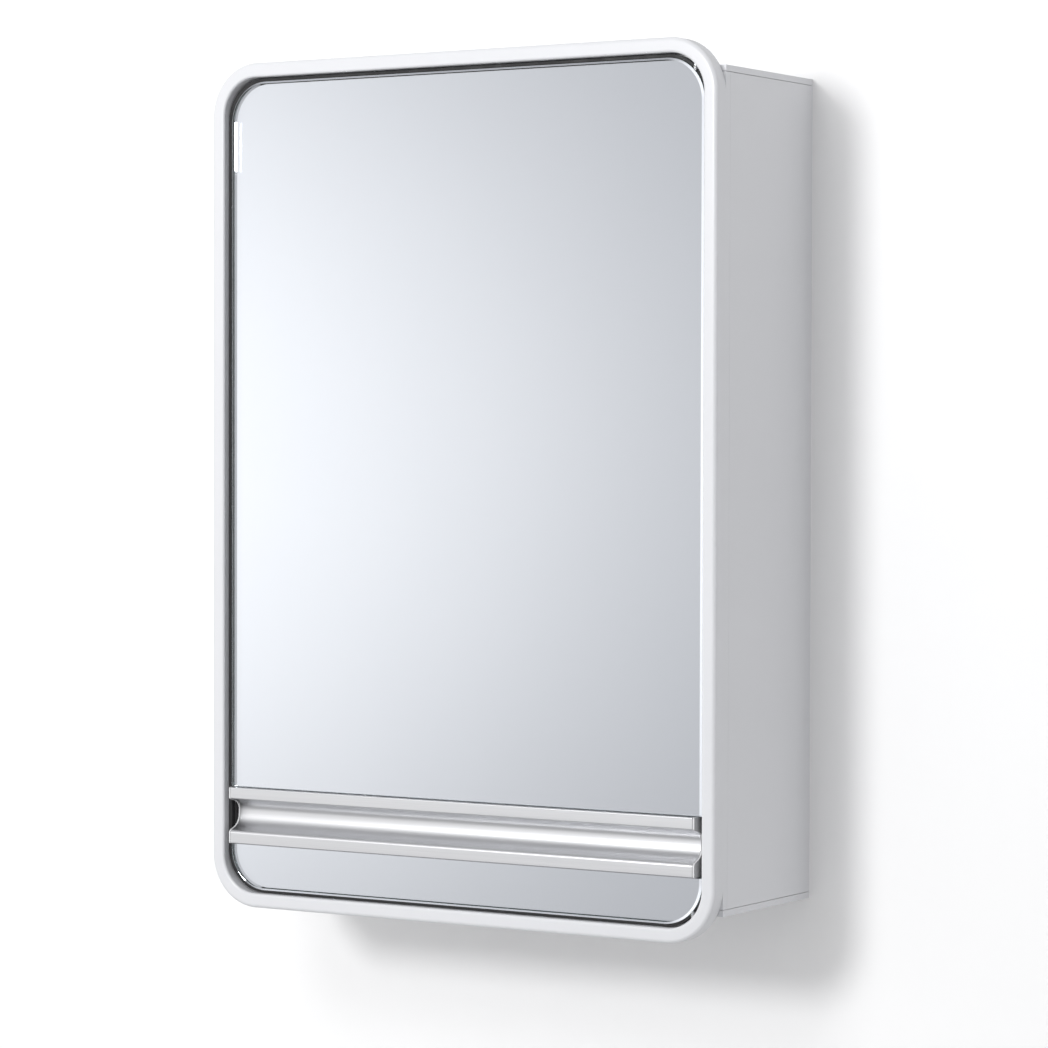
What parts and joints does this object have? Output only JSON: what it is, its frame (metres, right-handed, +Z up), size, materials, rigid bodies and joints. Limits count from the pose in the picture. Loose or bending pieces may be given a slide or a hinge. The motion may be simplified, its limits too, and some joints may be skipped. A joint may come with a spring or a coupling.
{
  "type": "medicine cabinet with mirror",
  "caption": "Wall-hung medicine cabinet: white box with a rounded front frame, inset mirror door on edge pivots, full-width metal grip rail and glass shelves.",
  "frame": {"origin": "centre of the flat back face, which lies against the wall", "axes": "+Z up, +Y into the wall, so the mirror door faces -Y; +X to the right when facing the mirror, on the pivot side"},
  "size_m": [0.412, 0.1343, 0.6],
  "materials": {
    "white_gloss": "glossy white moulded plastic",
    "black_plastic": "matt black moulded plastic",
    "mirror": "silvered float glass with polished edges",
    "aluminium": "satin anodised extrusion",
    "steel": "zinc-plated steel",
    "glass": "clear float glass with polished edges",
    "nylon": "natural nylon"
  },
  "bodies": {
    "cabinet": {"back_panel": "white_gloss", "bottom_panel": "white_gloss", "catch_housing": "nylon", "catch_magnet": "steel", "front_frame": "white_gloss", "glass_shelf_1": "glass", "glass_shelf_2": "glass", "glass_shelf_3": "glass", "hanger_plate_left": "steel", "hanger_plate_right": "steel", "hanger_screw_left_bottom": "steel", "hanger_screw_left_top": "steel", "hanger_screw_right_bottom": "steel", "hanger_screw_right_top": "steel", "pivot_pin_bottom": "steel", "pivot_pin_top": "steel", "pivot_washer_bottom": "nylon", "pivot_washer_top": "nylon", "shelf_peg_1_back_left": "nylon", "shelf_peg_1_back_right": "nylon", "shelf_peg_1_front_left": "nylon", "shelf_peg_1_front_right": "nylon", "shelf_peg_2_back_left": "nylon", "shelf_peg_2_back_right": "nylon", "shelf_peg_2_front_left": "nylon", "shelf_peg_2_front_right": "nylon", "shelf_peg_3_back_left": "nylon", "shelf_peg_3_back_right": "nylon", "shelf_peg_3_front_left": "nylon", "shelf_peg_3_front_right": "nylon", "side_panel_left": "white_gloss", "side_panel_right": "white_gloss", "top_panel": "white_gloss"},
    "door": {"door_tray": "black_plastic", "handle_end_cap_left": "aluminium", "handle_end_cap_right": "aluminium", "handle_profile": "aluminium", "handle_retainer_left": "steel", "handle_retainer_right": "steel", "hinge_lug_bottom": "steel", "hinge_lug_top": "steel", "mirror_lower": "mirror", "mirror_upper": "mirror", "retainer_screw_left_bottom": "steel", "retainer_screw_left_top": "steel", "retainer_screw_right_bottom": "steel", "retainer_screw_right_top": "steel", "strike_plate": "steel"}
  },
  "joints": [
    {"name": "door_hinge", "type": "hinge", "parent": "cabinet", "child": "door", "pos_m": [0.188, -0.1305, 0], "axis": [0, 0, 1], "range_deg": [0, 110]}
  ]
}
